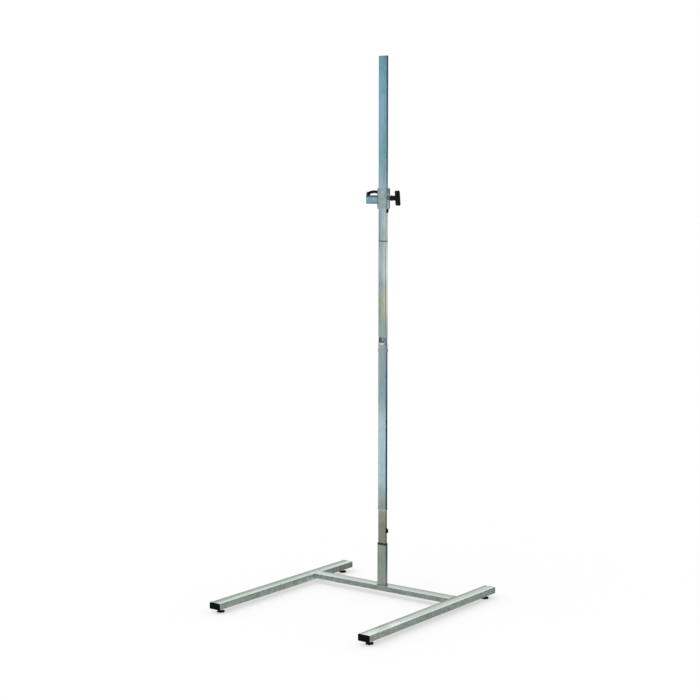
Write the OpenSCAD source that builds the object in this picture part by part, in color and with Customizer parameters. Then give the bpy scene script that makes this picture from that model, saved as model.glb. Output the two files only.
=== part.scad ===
// Free-standing mast on an H-shaped base: a sectional mast of slim rectangular tube
// stands in a welded socket and carries a clamped slider with a short arm.
// Origin: middle of the base's footprint on the floor. +Z up, the rails run along Y.

/* [Base] */
// Length of each floor rail
rail_length = 1000; // [800:10:1200]
// Distance between the middles of the two rails
rail_spacing = 840; // [600:10:1000]
// Width of the rail tube
rail_width = 60; // [56:1:80]
// Height of the rail tube
rail_height = 30; // [26:1:40]
// Wall of the rail tube
rail_wall = 2; // [1.5:0.1:3]
// Outer corner radius of the rail and cross tubes
rail_corner = 4; // [3.5:0.5:6]
// How far the cross tube lies behind the middle of the rails
cross_offset = 230; // [0:5:300]
// Width of the cross tube
cross_width = 60; // [50:1:80]
// Height of the cross tube, whose top is level with the rails
cross_height = 25; // [20:1:30]
// Leg of the weld beads
weld_leg = 4; // [2:0.5:5]

/* [End caps] */
// Thickness of a cap's outer plate
cap_plate = 4; // [3:0.5:8]
// Depth of a cap's plug inside the rail
cap_depth = 20; // [12:1:30]
// Wall of a cap's plug
cap_wall = 2; // [1.5:0.5:3]

/* [Feet] */
// Height of the rails' underside above the floor
foot_height = 20; // [18:1:40]
// Distance of each foot from the end of its rail
foot_inset = 40; // [30:1:80]
// Height of a foot's moulded base
foot_base_height = 9; // [7:0.5:12]
// Radius of the ring on which a foot's lobes stand
foot_lobe_ring = 13; // [11:0.5:20]
// Radius of each lobe
foot_lobe_radius = 5.5; // [4.5:0.5:8]
// Lobes on a foot
foot_lobes = 6; // [5:1:8]
// Diameter of a foot's stud
stud_diameter = 10; // [8:0.5:12]
// Height of a stud's top above the rail's underside
stud_reach = 18; // [15:1:20]
// Hexagon of a stud across its flats
stud_hex = 15; // [14:0.5:17]

/* [Mast socket] */
// Wall of the socket tube
socket_wall = 1.5; // [1.5:0.1:3]
// Wall of the bush inside the socket
liner_wall = 1; // [1:0.05:3]
// Length of the socket tube
socket_length = 194; // [120:2:260]
// How far the socket's front lies behind the cross tube's front
socket_setback = 8.95; // [4:0.05:20]
// Height of the bush's lip on the socket's mouth
mouth_lip = 9; // [3:0.5:12]
// Depth of the bush inside the socket
mouth_depth = 60; // [30:5:100]

/* [Mast] */
// Width of the mast tubes
mast_width = 45; // [36:0.5:56]
// Depth of the mast tubes
mast_depth = 15; // [13:0.5:20]
// Wall of the mast tubes
mast_wall = 1; // [0.8:0.1:1.2]
// Outer corner radius of the mast tubes
mast_corner = 2.5; // [2:0.1:3]
// Wall of the inner spigots
spigot_wall = 1.5; // [1.2:0.1:2]
// Length of spigot that shows above the socket
spigot_show = 155; // [120:1:300]
// Length of spigot inside the lower tube
spigot_grip = 222; // [200:2:300]
// Length of the lower tube
lower_length = 755; // [500:5:1000]
// Length of the middle tube
middle_length = 450; // [400:10:700]
// Length of the top tube
top_length = 845; // [500:5:1200]
// Gap between the ferrule and the middle tube
joint_gap = 25; // [18:1:40]
// Length of the joint spigot in each of its two tubes
joint_grip = 150; // [100:5:200]
// Length of the top spigot in each of its two tubes
top_grip = 120; // [80:5:180]
// Depth of the plug in the mast's top
plug_depth = 15; // [10:1:30]

/* [Collars] */
// How far the lower collar stands out from the tube
collar_proud = 0.75; // [0.5:0.25:3]
// Height of the lower collar
collar_height = 14; // [10:1:20]
// Depth of the bush inside the lower collar
bush_seat = 5; // [3:0.5:8]
// Height of the bush's lip below the collar
bush_lip = 5; // [3:0.5:8]
// How far the bush's lip is set in from the tube's face
bush_inset = 0.25; // [0.1:0.05:0.5]
// How far the ferrule's ridge stands out from the tube
ridge_proud = 1.75; // [1:0.25:5]
// Height of the ferrule's ridge
ridge_height = 13; // [12:1:20]
// How far the ferrule's ridge reaches down over the tube
ridge_grip = 10; // [5:1:10]
// Height of the ferrule's neck above its ridge
neck_height = 28; // [20:1:40]

/* [Snap locks] */
// Height of the catch's lower face above the socket's lip
catch_rise = 51; // [30:1:70]
// Height of the catch
catch_height = 23; // [18:1:30]
// Gap on each side between the catch and the spigot's inside
catch_play = 0.8; // [0.4:0.1:1.5]
// How far the catch stands out of the spigot
catch_reach = 9; // [6:0.5:12]
// Radius of the snap button
button_radius = 8; // [5:0.25:9]
// How far the button stands out of the joint spigot
button_reach = 6; // [4:0.5:6]
// Thickness of the leaf springs
leaf_thick = 0.8; // [0.6:0.1:1.2]
// Radius of the rivet shanks
rivet_radius = 2; // [1.5:0.25:2.5]

/* [Slider] */
// Height of the slider's middle above the floor
slider_height = 1874; // [1750:1:2300]
// Height of the sleeve
sleeve_height = 94; // [80:1:120]
// Wall of the sleeve
sleeve_wall = 2.5; // [2:0.1:4]
// Gap between the mast and the sleeve's left wall
sleeve_clear = 1; // [0.3:0.1:3]
// Gap in front of the mast and behind it, inside the sleeve
sleeve_play = 3.4; // [2:0.1:5]
// Length of the arm
arm_length = 66; // [56:1:120]
// How far the arm's middle lies below the sleeve's middle
arm_drop = 5.5; // [0:0.5:7]
// Height of the arm tube
arm_height = 39; // [34:1:46]
// Depth of the arm tube
arm_depth = 18; // [17.5:0.5:22]
// Wall of the arm tube
arm_wall = 2; // [1.5:0.1:3]
// Width of the pressure pad
pad_width = 12; // [8:1:14]
// Thickness of the pressure pad
pad_thick = 5; // [3:0.5:8]
// How far the pad reaches below the sleeve
pad_tail = 19; // [10:1:30]

/* [Lever] */
// Distance of each bracket ear from the arm's side
ear_margin = 1.7; // [1.5:0.1:3]
// Thickness of the lever's handle
lever_thick = 13.5; // [8:0.5:14]
// Radius of the lever's middle line
lever_bend = 77; // [70:1:90]
// Gap between the lever's tip and the sleeve
lever_gap = 1.5; // [1:0.5:10]
// Height of the lever's pivot above the arm
pivot_rise = 8; // [8:0.25:8.5]
// Distance of the pivot from the arm's end
pivot_inset = 6; // [5:0.5:10]
// Radius of the round cam
cam_radius = 8; // [7.5:0.25:8]
// Offset of the cam's lobe from the pivot
cam_throw = 2.75; // [2.25:0.25:2.75]
// Radius of the lever's pin
pin_radius = 2.5; // [2:0.25:3]
// Thickness of each bracket ear
ear_thick = 3; // [2:0.5:3]

/* [Clamp screw] */
// How far the screw lies above the sleeve's middle
clamp_rise = 2; // [-10:0.5:10]
// Radius of the clamp stud
clamp_radius = 5; // [4:0.25:6]
// Clamp nut across its flats
nut_flats = 17; // [15:0.5:20]
// Thickness of the clamp nut
nut_thick = 8; // [5:0.5:10]
// Gap between the nut and the handle's hub
hub_gap = 6; // [5:0.5:12]
// Radius of the handle's hub
hub_radius = 13; // [11:0.5:15]
// Radius of the hub's waist
hub_waist = 11.5; // [9:0.5:12.5]
// Length of the handle's hub
hub_length = 26; // [15:1:35]
// Height of the T-bar
bar_height = 70; // [50:1:100]
// Depth of the T-bar
bar_depth = 16; // [12:0.5:20]
// Thickness of the T-bar
bar_thick = 21; // [14:0.5:26]
// Angle at which the T-bar stands
bar_turn = 6; // [-45:1:45]

/* [Fits] */
// Gap on each side between tubes that slide in each other
tube_clear = 0.2; // [0.1:0.05:0.3]
// Gap on each side of a pressed or riveted fit
seat_clear = 0.05; // [0.02:0.01:0.1]
// Gap around a catch, button or pad that moves
lock_clear = 0.3; // [0.2:0.05:0.4]

/* [Hidden] */
$fn = 48;
zinc = "lightsteelblue";
black = "dimgray";
over = 1;
least_corner = 0.8;

spigot_width = mast_width - 2 * (mast_wall + tube_clear);
spigot_depth = mast_depth - 2 * (mast_wall + tube_clear);
spigot_corner = mast_corner - mast_wall;
spigot_bore_x = spigot_width / 2 - spigot_wall;
spigot_bore_y = spigot_depth / 2 - spigot_wall;

socket_jacket = tube_clear + liner_wall + seat_clear + socket_wall;
socket_width = spigot_width + 2 * socket_jacket;
socket_depth = spigot_depth + 2 * socket_jacket;

rail_x = rail_spacing / 2;
rail_top = foot_height + rail_height;
rail_middle = foot_height + rail_height / 2;
foot_y = rail_length / 2 - foot_inset;
stud_hole = stud_diameter / 2 + seat_clear;
stud_sunk = 5;
stud_seat = foot_base_height - stud_sunk;
nut_wall = 1.5;
nut_radius = stud_diameter / 2 + nut_wall;
nut_flange = 1;
cross_half = rail_x - rail_width / 2;
mast_y = cross_offset - cross_width / 2 + socket_setback + socket_depth / 2;

socket_top = rail_top + socket_length;
mouth = socket_top + mouth_lip;
collar_bottom = mouth + spigot_show + bush_lip;
lower_bottom = collar_bottom + bush_seat;
lower_top = lower_bottom + lower_length;
ridge_bottom = lower_top - ridge_grip;
ferrule_top = ridge_bottom + ridge_height + neck_height;
middle_bottom = ferrule_top + joint_gap;
top_bottom = middle_bottom + middle_length;
mast_top = top_bottom + top_length;

catch_z = mouth + catch_rise;
catch_thick = 2 * (spigot_bore_y - catch_play);
catch_shoulder = 3;
button_flange = 1.5;
leaf_foot = -60;
leaf_bend = -30;
button_z = middle_bottom - lock_clear - button_radius;
rivet_spacing = 45;
rivet_inset = 40;

pad_space = pad_thick + 2 * lock_clear;
sleeve_shift = (pad_space - sleeve_clear) / 2;
sleeve_bore_x = (mast_width + pad_space + sleeve_clear) / 2;
sleeve_bore_y = mast_depth / 2 + sleeve_play;
sleeve_x = sleeve_bore_x + sleeve_wall;
arm_top = arm_height / 2 - arm_drop;
pivot_x = -sleeve_x - arm_length + pivot_inset;
pivot_z = arm_top + pivot_rise;
lever_width = arm_depth - 2 * (ear_margin + ear_thick + lock_clear);
pin_half = lever_width / 2 + lock_clear + ear_thick;
pin_end = 2;
pin_brim = 1.5;
hub_start = sleeve_x + nut_thick + hub_gap;
stud_tip = sleeve_bore_x - lock_clear + seat_clear;

// Rectangle with round corners, about the origin
module rounded(w, h, r) {
    square([w - 2 * r, h], center = true);
    square([w, h - 2 * r], center = true);
    for (x = [-1, 1], y = [-1, 1])
        translate([x * (w / 2 - r), y * (h / 2 - r)])
            circle(r);
}

// Hollow rounded rectangle between an outer and an inner size
module ring(w, h, r, inner_w, inner_h, inner_r) {
    difference() {
        rounded(w, h, r);
        rounded(inner_w, inner_h, inner_r);
    }
}

// Section of a rectangular tube
module section(w, h, wall, r) {
    ring(w, h, r, w - 2 * wall, h - 2 * wall, max(r - wall, least_corner));
}

// A profile carried up the mast's axis from one level to another
module upright(from, to) {
    translate([0, mast_y, from])
        linear_extrude(to - from)
            children();
}

// Frame of the slider, whose sleeve is drawn to the right by its clamp
module on_slider() {
    translate([sleeve_shift, mast_y, slider_height])
        children();
}

// A round piece across the mast from front to back
module along_y(y, z) {
    translate([0, mast_y + y, z])
        rotate([-90, 0, 0])
            children();
}

module rail(side) {
    color(zinc)
        difference() {
            translate([side * rail_x, rail_length / 2, rail_middle])
                rotate([90, 0, 0])
                    linear_extrude(rail_length)
                        section(rail_width, rail_height, rail_wall, rail_corner);
            for (y = [-1, 1])
                translate([side * rail_x, y * foot_y, foot_height - over])
                    cylinder(r = nut_radius + seat_clear, h = rail_wall + 2 * over);
        }
}

module cross_tube() {
    color(zinc)
        translate([-cross_half, cross_offset, rail_top - cross_height / 2])
            rotate([0, 90, 0])
                linear_extrude(2 * cross_half)
                    section(cross_height, cross_width, rail_wall, rail_corner);
}

module mast_socket() {
    color(zinc)
        upright(rail_top, socket_top)
            section(socket_width, socket_depth, socket_wall, mast_corner);
}

// Quarter of a disc, the section of a weld bead
module bead_section(leg) {
    intersection() {
        circle(leg);
        square(leg);
    }
}

// Weld bead around the foot of a rectangular tube that stands on a flat face
module ring_bead(w, h, r, leg) {
    for (turn = [0, 180])
        rotate([0, 0, turn]) {
            translate([w / 2, h / 2 - r, 0])
                rotate([90, 0, 0])
                    linear_extrude(h - 2 * r)
                        bead_section(leg);
            translate([-w / 2 + r, h / 2, 0])
                rotate([90, 0, 90])
                    linear_extrude(w - 2 * r)
                        bead_section(leg);
            translate([w / 2 - r, h / 2 - r, 0])
                rotate_extrude(angle = 90)
                    translate([r, 0])
                        bead_section(leg);
            translate([-w / 2 + r, h / 2 - r, 0])
                rotate([0, 0, 90])
                    rotate_extrude(angle = 90)
                        translate([r, 0])
                            bead_section(leg);
        }
}

module base_welds() {
    bead_bottom = rail_top - cross_height + rail_corner;
    bead_height = cross_height - 2 * rail_corner;
    color("slategray") {
        for (x = [0, 1], y = [0, 1])
            mirror([x, 0, 0])
                translate([-cross_half, cross_offset, bead_bottom])
                    mirror([0, y, 0])
                        translate([0, cross_width / 2, 0])
                            linear_extrude(bead_height)
                                bead_section(weld_leg);
        translate([0, mast_y, rail_top])
            ring_bead(socket_width, socket_depth, mast_corner, weld_leg);
    }
}

module socket_bush() {
    inner_w = spigot_width + 2 * tube_clear;
    inner_h = spigot_depth + 2 * tube_clear;
    color(black) {
        upright(socket_top, mouth)
            ring(socket_width, socket_depth, mast_corner, inner_w, inner_h, spigot_corner);
        upright(socket_top - mouth_depth, socket_top)
            ring(socket_width - 2 * (socket_wall + seat_clear),
                  socket_depth - 2 * (socket_wall + seat_clear), spigot_corner,
                  inner_w, inner_h, spigot_corner);
    }
}

// Black cap: outer plate with an eased rim, hollow plug and two gripping ribs
module end_cap(side, end) {
    plug_w = rail_width - 2 * (rail_wall + lock_clear);
    plug_h = rail_height - 2 * (rail_wall + lock_clear);
    rib_w = rail_width - 2 * (rail_wall + seat_clear);
    rib_h = rail_height - 2 * (rail_wall + seat_clear);
    plug_corner = cap_wall + 0.5;
    rim = 1;
    rib = 1.5;
    root = 0.5;
    color("black")
        translate([side * rail_x, end * rail_length / 2, rail_middle])
            rotate([-90 * end, 0, 0]) {
                linear_extrude(cap_plate - rim)
                    rounded(rail_width, rail_height, rail_corner);
                translate([0, 0, cap_plate - rim])
                    linear_extrude(rim)
                        rounded(rail_width - 2 * rim, rail_height - 2 * rim, rail_corner - rim);
                translate([0, 0, -cap_depth])
                    linear_extrude(cap_depth)
                        section(plug_w, plug_h, cap_wall, plug_corner);
                for (z = [1, 2])
                    translate([0, 0, -z * cap_depth / 3])
                        linear_extrude(rib)
                            ring(rib_w, rib_h, cap_wall, plug_w - 2 * root, plug_h - 2 * root, cap_wall);
            }
}

// Flanged rivet nuts in the rails' undersides
module foot_nuts() {
    brim = 1.5;
    stud_past = 3;
    color(zinc)
        for (x = [-1, 1], y = [-1, 1])
            translate([x * rail_x, y * foot_y, foot_height])
                difference() {
                    union() {
                        translate([0, 0, -nut_flange])
                            cylinder(r = nut_radius + brim, h = nut_flange);
                        cylinder(r = nut_radius, h = stud_reach - stud_past);
                    }
                    translate([0, 0, -nut_flange - over])
                        cylinder(r = stud_hole, h = stud_reach);
                }
}

// Lobed outline of a foot, drawn in by a margin
module foot_outline(margin) {
    circle(foot_lobe_ring - margin);
    for (i = [0 : foot_lobes - 1])
        rotate(i * 360 / foot_lobes)
            translate([foot_lobe_ring, 0])
                circle(foot_lobe_radius - margin);
}

module foot(side, end) {
    rim = 1.5;
    boss = 2;
    boss_margin = 2;
    color("black")
        translate([side * rail_x, end * foot_y, 0])
            difference() {
                union() {
                    linear_extrude(foot_base_height - boss - rim)
                        foot_outline(0);
                    linear_extrude(foot_base_height - boss)
                        foot_outline(rim);
                    cylinder(r = stud_hex / 2 + boss_margin, h = foot_base_height);
                }
                translate([0, 0, stud_seat])
                    cylinder(r = stud_hole, h = foot_base_height);
            }
}

module foot_stud(side, end) {
    hex_height = 5;
    chamfer = 1;
    stud_top = foot_height + stud_reach - chamfer;
    color(zinc)
        translate([side * rail_x, end * foot_y, 0]) {
            translate([0, 0, stud_seat])
                cylinder(d = stud_diameter, h = stud_top - stud_seat);
            translate([0, 0, stud_top])
                cylinder(d1 = stud_diameter, d2 = stud_diameter - 2 * chamfer, h = chamfer);
            translate([0, 0, foot_base_height])
                cylinder(d = stud_hex / cos(30), h = hex_height, $fn = 6);
        }
}

module lower_spigot() {
    color(zinc)
        difference() {
            upright(rail_top, collar_bottom + spigot_grip)
                section(spigot_width, spigot_depth, spigot_wall, spigot_corner);
            translate([spigot_bore_x - over, mast_y - catch_thick / 2 - lock_clear, catch_z - lock_clear])
                cube([spigot_wall + 2 * over, catch_thick + 2 * lock_clear, catch_height + 2 * lock_clear]);
        }
}

// Catch with a square lower edge and a sloped top, held in its window by a shoulder
module snap_catch() {
    lip = 2.5;
    ease = 1.5;
    slope = 8;
    crown = 3;
    back = spigot_bore_x - lock_clear;
    face = spigot_width / 2;
    color("black")
        translate([0, mast_y + catch_thick / 2, catch_z])
            rotate([90, 0, 0])
                linear_extrude(catch_thick)
                    polygon([
                        [back - catch_shoulder, -lip], [back, -lip], [back, 0],
                        [face + catch_reach - ease, 0], [face + catch_reach, ease],
                        [face + catch_reach, catch_height - slope],
                        [face + crown, catch_height], [back, catch_height],
                        [back, catch_height + lip], [back - catch_shoulder, catch_height + lip]
                    ]);
}

// Bent leaf: a foot along one wall, then a slope and a short flat behind what it pushes
module leaf(wall, push, flat_start, flat_end) {
    polygon([
        [wall, leaf_foot], [wall, leaf_bend],
        [push - leaf_thick, flat_start], [push - leaf_thick, flat_end],
        [push, flat_end], [push, flat_start],
        [wall + leaf_thick, leaf_bend], [wall + leaf_thick, leaf_foot]
    ]);
}

module catch_spring() {
    push = spigot_bore_x - lock_clear - catch_shoulder - seat_clear;
    color("silver")
        translate([0, mast_y + catch_thick / 2, catch_z])
            rotate([90, 0, 0])
                linear_extrude(catch_thick)
                    leaf(-spigot_bore_x + seat_clear, push, catch_height / 5, catch_height * 4 / 5);
}

// Holes for the two rivets that hold a spigot in the tube below a level
module rivet_holes(level) {
    for (i = [0, 1])
        along_y(0, level - rivet_inset - i * rivet_spacing)
            cylinder(r = rivet_radius + seat_clear, h = mast_depth);
}

// Two rivets with a low head outside and an upset end inside
module rivets(level) {
    head = 1.2;
    bulb = 1.2;
    bulge = 1;
    shank_end = spigot_bore_y - seat_clear;
    for (i = [0, 1])
        along_y(0, level - rivet_inset - i * rivet_spacing) {
            translate([0, 0, shank_end - bulb])
                cylinder(r = rivet_radius + bulge, h = bulb);
            translate([0, 0, shank_end - bulb])
                cylinder(r = rivet_radius, h = mast_depth / 2 - shank_end + bulb + head);
            translate([0, 0, mast_depth / 2])
                cylinder(r1 = rivet_radius * 2, r2 = rivet_radius, h = head);
        }
}

module lower_tube() {
    color(zinc)
        difference() {
            upright(lower_bottom, lower_top)
                section(mast_width, mast_depth, mast_wall, mast_corner);
            rivet_holes(lower_top);
        }
}

module lower_collar() {
    color(zinc)
        upright(collar_bottom, collar_bottom + collar_height)
            ring(mast_width + 2 * collar_proud, mast_depth + 2 * collar_proud,
                  mast_corner + collar_proud, mast_width + 2 * seat_clear,
                  mast_depth + 2 * seat_clear, mast_corner);
}

module lower_bush() {
    inner_w = spigot_width + 2 * tube_clear;
    inner_h = spigot_depth + 2 * tube_clear;
    color("beige") {
        upright(collar_bottom, lower_bottom)
            ring(mast_width, mast_depth, mast_corner, inner_w, inner_h, spigot_corner);
        upright(collar_bottom - bush_lip, collar_bottom)
            ring(mast_width - 2 * bush_inset, mast_depth - 2 * bush_inset, mast_corner - bush_inset,
                  inner_w, inner_h, spigot_corner);
    }
}

// Cap over the tube's end with a ridge, and a neck with an eased rim around the spigot
module joint_ferrule() {
    rim = 0.8;
    rim_height = 2;
    ridge_w = mast_width + 2 * ridge_proud;
    ridge_d = mast_depth + 2 * ridge_proud;
    inner_w = spigot_width + 2 * seat_clear;
    inner_d = spigot_depth + 2 * seat_clear;
    color("silver") {
        upright(ridge_bottom, lower_top)
            ring(ridge_w, ridge_d, mast_corner + ridge_proud / 2,
                  mast_width + 2 * seat_clear, mast_depth + 2 * seat_clear, mast_corner);
        upright(lower_top, ridge_bottom + ridge_height)
            ring(ridge_w, ridge_d, mast_corner + ridge_proud / 2, inner_w, inner_d, spigot_corner);
        upright(ridge_bottom + ridge_height, ferrule_top - rim_height)
            ring(mast_width, mast_depth, mast_corner, inner_w, inner_d, spigot_corner);
        upright(ferrule_top - rim_height, ferrule_top)
            ring(mast_width - 2 * rim, mast_depth - 2 * rim, mast_corner - rim,
                  inner_w, inner_d, spigot_corner);
    }
}

module joint_spigot() {
    color(zinc)
        difference() {
            upright(lower_top - joint_grip, middle_bottom + joint_grip)
                section(spigot_width, spigot_depth, spigot_wall, spigot_corner);
            rivet_holes(lower_top);
            along_y(-mast_depth, button_z)
                cylinder(r = button_radius + lock_clear, h = mast_depth);
        }
}

module joint_rivets() {
    color("silver")
        rivets(lower_top);
}

// Domed button with a flange that holds it behind the spigot's front wall
module snap_button() {
    dome = 11;
    brim = 1.5;
    back = -spigot_bore_y + lock_clear;
    tip = -spigot_depth / 2 - button_reach;
    color("silver") {
        along_y(back, button_z)
            cylinder(r = button_radius + brim, h = button_flange);
        intersection() {
            along_y(tip, button_z)
                cylinder(r = button_radius, h = back - tip);
            along_y(tip + dome, button_z)
                sphere(dome);
        }
    }
}

module button_spring() {
    push = spigot_bore_y - lock_clear - button_flange - seat_clear;
    color("silver")
        translate([-button_radius / 2, mast_y, button_z])
            rotate([90, 0, 90])
                linear_extrude(button_radius)
                    mirror([1, 0])
                        leaf(-spigot_bore_y + seat_clear, push, -button_radius / 2, button_radius / 2);
}

module middle_tube() {
    color(zinc)
        difference() {
            upright(middle_bottom, top_bottom)
                section(mast_width, mast_depth, mast_wall, mast_corner);
            rivet_holes(top_bottom);
        }
}

module top_spigot() {
    color(zinc)
        difference() {
            upright(top_bottom - top_grip, top_bottom + top_grip)
                section(spigot_width, spigot_depth, spigot_wall, spigot_corner);
            rivet_holes(top_bottom);
        }
}

module top_rivets() {
    color("silver")
        rivets(top_bottom);
}

module top_tube() {
    color(zinc)
        upright(top_bottom, mast_top)
            section(mast_width, mast_depth, mast_wall, mast_corner);
}

module top_plug() {
    head = 3;
    plug_w = mast_width - 2 * (mast_wall + seat_clear);
    plug_d = mast_depth - 2 * (mast_wall + seat_clear);
    color("gray") {
        upright(mast_top - head, mast_top)
            rounded(plug_w, plug_d, spigot_corner);
        upright(mast_top - plug_depth, mast_top - head)
            section(plug_w, plug_d, spigot_wall, spigot_corner);
    }
}

// Bore for the clamp stud, through the sleeve's right wall
module clamp_bore(radius) {
    translate([sleeve_bore_x - over, 0, clamp_rise])
        rotate([0, 90, 0])
            cylinder(r = radius, h = sleeve_wall + nut_thick + 2 * over);
}

module slider_sleeve() {
    color(zinc)
        on_slider()
            difference() {
                translate([0, 0, -sleeve_height / 2])
                    linear_extrude(sleeve_height)
                        section(2 * sleeve_x, 2 * (sleeve_bore_y + sleeve_wall), sleeve_wall,
                                mast_corner + 1);
                clamp_bore(clamp_radius + seat_clear);
            }
}

// Rectangular tube that leaves the sleeve to the left, with a window for the cam in its top
module slider_arm() {
    window_play = 2;
    window = 2 * (cam_radius + cam_throw) + window_play;
    window_x = pivot_x - (window - window_play) / 2;
    color(zinc)
        on_slider()
            difference() {
                translate([-sleeve_x, 0, -arm_drop])
                    rotate([0, -90, 0])
                        linear_extrude(arm_length)
                            section(arm_height, arm_depth, arm_wall, mast_corner);
                translate([window_x, -lever_width / 2 - lock_clear, arm_top - arm_wall - over])
                    cube([window, lever_width + 2 * lock_clear, arm_wall + 2 * over]);
            }
}

module arm_weld() {
    bead = weld_leg / 2;
    color("slategray")
        on_slider()
            translate([-sleeve_x, 0, -arm_drop])
                rotate([0, -90, 0])
                    ring_bead(arm_height, arm_depth, mast_corner, bead);
}

// Two ears on the arm's top that carry the lever's pin
module lever_bracket() {
    ear_radius = 6;
    color("black")
        on_slider()
            for (side = [-1, 1])
                translate([pivot_x, side * (lever_width / 2 + lock_clear + ear_thick / 2), 0])
                    rotate([90, 0, 0])
                        linear_extrude(ear_thick, center = true)
                            difference() {
                                union() {
                                    translate([0, pivot_z])
                                        circle(ear_radius);
                                    translate([-ear_radius, arm_top])
                                        square([2 * ear_radius, pivot_rise]);
                                }
                                translate([0, pivot_z])
                                    circle(pin_radius + seat_clear);
                            }
}

module lever_pin() {
    head = 1.5;
    color("silver")
        on_slider()
            translate([pivot_x, pin_half + pin_end, pivot_z])
                rotate([90, 0, 0]) {
                    cylinder(r = pin_radius, h = 2 * pin_half + pin_end);
                    translate([0, 0, 2 * pin_half + pin_end])
                        cylinder(r = pin_radius + pin_brim, h = head);
                }
}

module pin_clip() {
    thick = 0.8;
    color("dimgray")
        on_slider()
            translate([pivot_x, pin_half + thick + seat_clear, pivot_z])
                rotate([90, 0, 0])
                    linear_extrude(thick)
                        difference() {
                            circle(pin_radius + pin_brim);
                            circle(pin_radius + seat_clear);
                        }
}

// Curved lever: an arc of rounded bar from the cam to a round tip
module cam_lever() {
    start = 117;
    edge = 2.5;
    relief = 0.5;
    handle_width = lever_width - 2 * relief;
    centre_x = pivot_x - lever_bend * cos(start);
    centre_z = pivot_z - lever_bend * sin(start);
    tip_x = -sleeve_x - lever_gap - lever_thick / 2;
    tip = acos((tip_x - centre_x) / lever_bend);
    color("black")
        on_slider()
            difference() {
                union() {
                    translate([centre_x, 0, centre_z])
                        rotate([90, 0, 0])
                            rotate([0, 0, tip])
                                rotate_extrude(angle = start - tip)
                                    translate([lever_bend, 0])
                                        rounded(lever_thick, handle_width, edge);
                    translate([centre_x + lever_bend * cos(tip), 0, centre_z + lever_bend * sin(tip)])
                        rotate([90, 0, 0])
                            rotate_extrude()
                                intersection() {
                                    rounded(lever_thick - 2 * relief, handle_width - 2 * relief, edge);
                                    translate([0, -lever_width / 2])
                                        square([lever_thick, lever_width]);
                                }
                    for (drop = [0, cam_throw])
                        translate([pivot_x, 0, pivot_z - drop])
                            rotate([90, 0, 0])
                                cylinder(r = cam_radius, h = lever_width, center = true);
                }
                translate([pivot_x, 0, pivot_z])
                    rotate([90, 0, 0])
                        cylinder(r = pin_radius + seat_clear, h = lever_width + 2 * over, center = true);
            }
}

module clamp_nut() {
    color("silver")
        on_slider()
            difference() {
                translate([sleeve_x, 0, clamp_rise])
                    rotate([0, 90, 0])
                        cylinder(d = nut_flats / cos(30), h = nut_thick, $fn = 6);
                clamp_bore(clamp_radius + seat_clear);
            }
}

module clamp_stud() {
    chamfer = 1;
    color("silver")
        on_slider()
            translate([stud_tip, 0, clamp_rise])
                rotate([0, 90, 0]) {
                    cylinder(r1 = clamp_radius - chamfer, r2 = clamp_radius, h = chamfer);
                    translate([0, 0, chamfer])
                        cylinder(r = clamp_radius, h = hub_start + hub_length - stud_tip - chamfer);
                }
}

// T-handle: waisted hub with a blind bore and a cross bar with eased edges
module clamp_handle() {
    rim = 2;
    land = 0.1;
    flange = hub_length / 5;
    color("black")
        on_slider()
            translate([hub_start, 0, clamp_rise])
                rotate([bar_turn, 0, 0])
                    difference() {
                        union() {
                            rotate([0, 90, 0]) {
                                rotate_extrude()
                                    polygon([
                                        [0, 0], [hub_radius - rim / 2, 0], [hub_radius, rim / 2],
                                        [hub_radius, flange], [hub_waist, 2 * flange],
                                        [hub_waist, hub_length + rim], [0, hub_length + rim]
                                    ]);
                                translate([0, 0, hub_length]) {
                                    linear_extrude(bar_thick)
                                        rounded(bar_height - 2 * rim, bar_depth - 2 * rim,
                                                bar_depth / 2 - rim - land);
                                    translate([0, 0, rim])
                                        linear_extrude(bar_thick - 2 * rim)
                                            rounded(bar_height, bar_depth, bar_depth / 2 - land);
                                }
                            }
                        }
                        translate([-over, 0, 0])
                            rotate([0, 90, 0])
                                cylinder(r = clamp_radius + seat_clear, h = hub_length + over + seat_clear);
                    }
}

// Flat pad between the mast's right face and the sleeve, with a tapered tail below the sleeve
module pressure_pad() {
    inner = mast_width / 2 + lock_clear;
    outer = inner + pad_thick;
    rise = 20;
    foot = -sleeve_height / 2;
    tail_thick = 2.5;
    color("black")
        translate([0, mast_y + pad_width / 2, slider_height])
            rotate([90, 0, 0])
                linear_extrude(pad_width)
                    polygon([
                        [inner, rise], [outer, rise], [outer, foot],
                        [inner + tail_thick, foot - pad_tail], [inner, foot - pad_tail]
                    ]);
}

rail(-1);  // left_rail
rail(1);  // right_rail
cross_tube();
mast_socket();
base_welds();
socket_bush();
end_cap(-1, -1);  // front_left_cap
end_cap(1, -1);  // front_right_cap
end_cap(-1, 1);  // rear_left_cap
end_cap(1, 1);  // rear_right_cap
foot_nuts();
foot(-1, -1);  // front_left_foot
foot(1, -1);  // front_right_foot
foot(-1, 1);  // rear_left_foot
foot(1, 1);  // rear_right_foot
foot_stud(-1, -1);  // front_left_stud
foot_stud(1, -1);  // front_right_stud
foot_stud(-1, 1);  // rear_left_stud
foot_stud(1, 1);  // rear_right_stud
lower_spigot();
snap_catch();
catch_spring();
lower_tube();
lower_collar();
lower_bush();
joint_ferrule();
joint_spigot();
joint_rivets();
snap_button();
button_spring();
middle_tube();
top_spigot();
top_rivets();
top_tube();
top_plug();
slider_sleeve();
slider_arm();
arm_weld();
lever_bracket();
lever_pin();
pin_clip();
cam_lever();
clamp_nut();
clamp_stud();
clamp_handle();
pressure_pad();
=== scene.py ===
import math

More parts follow.
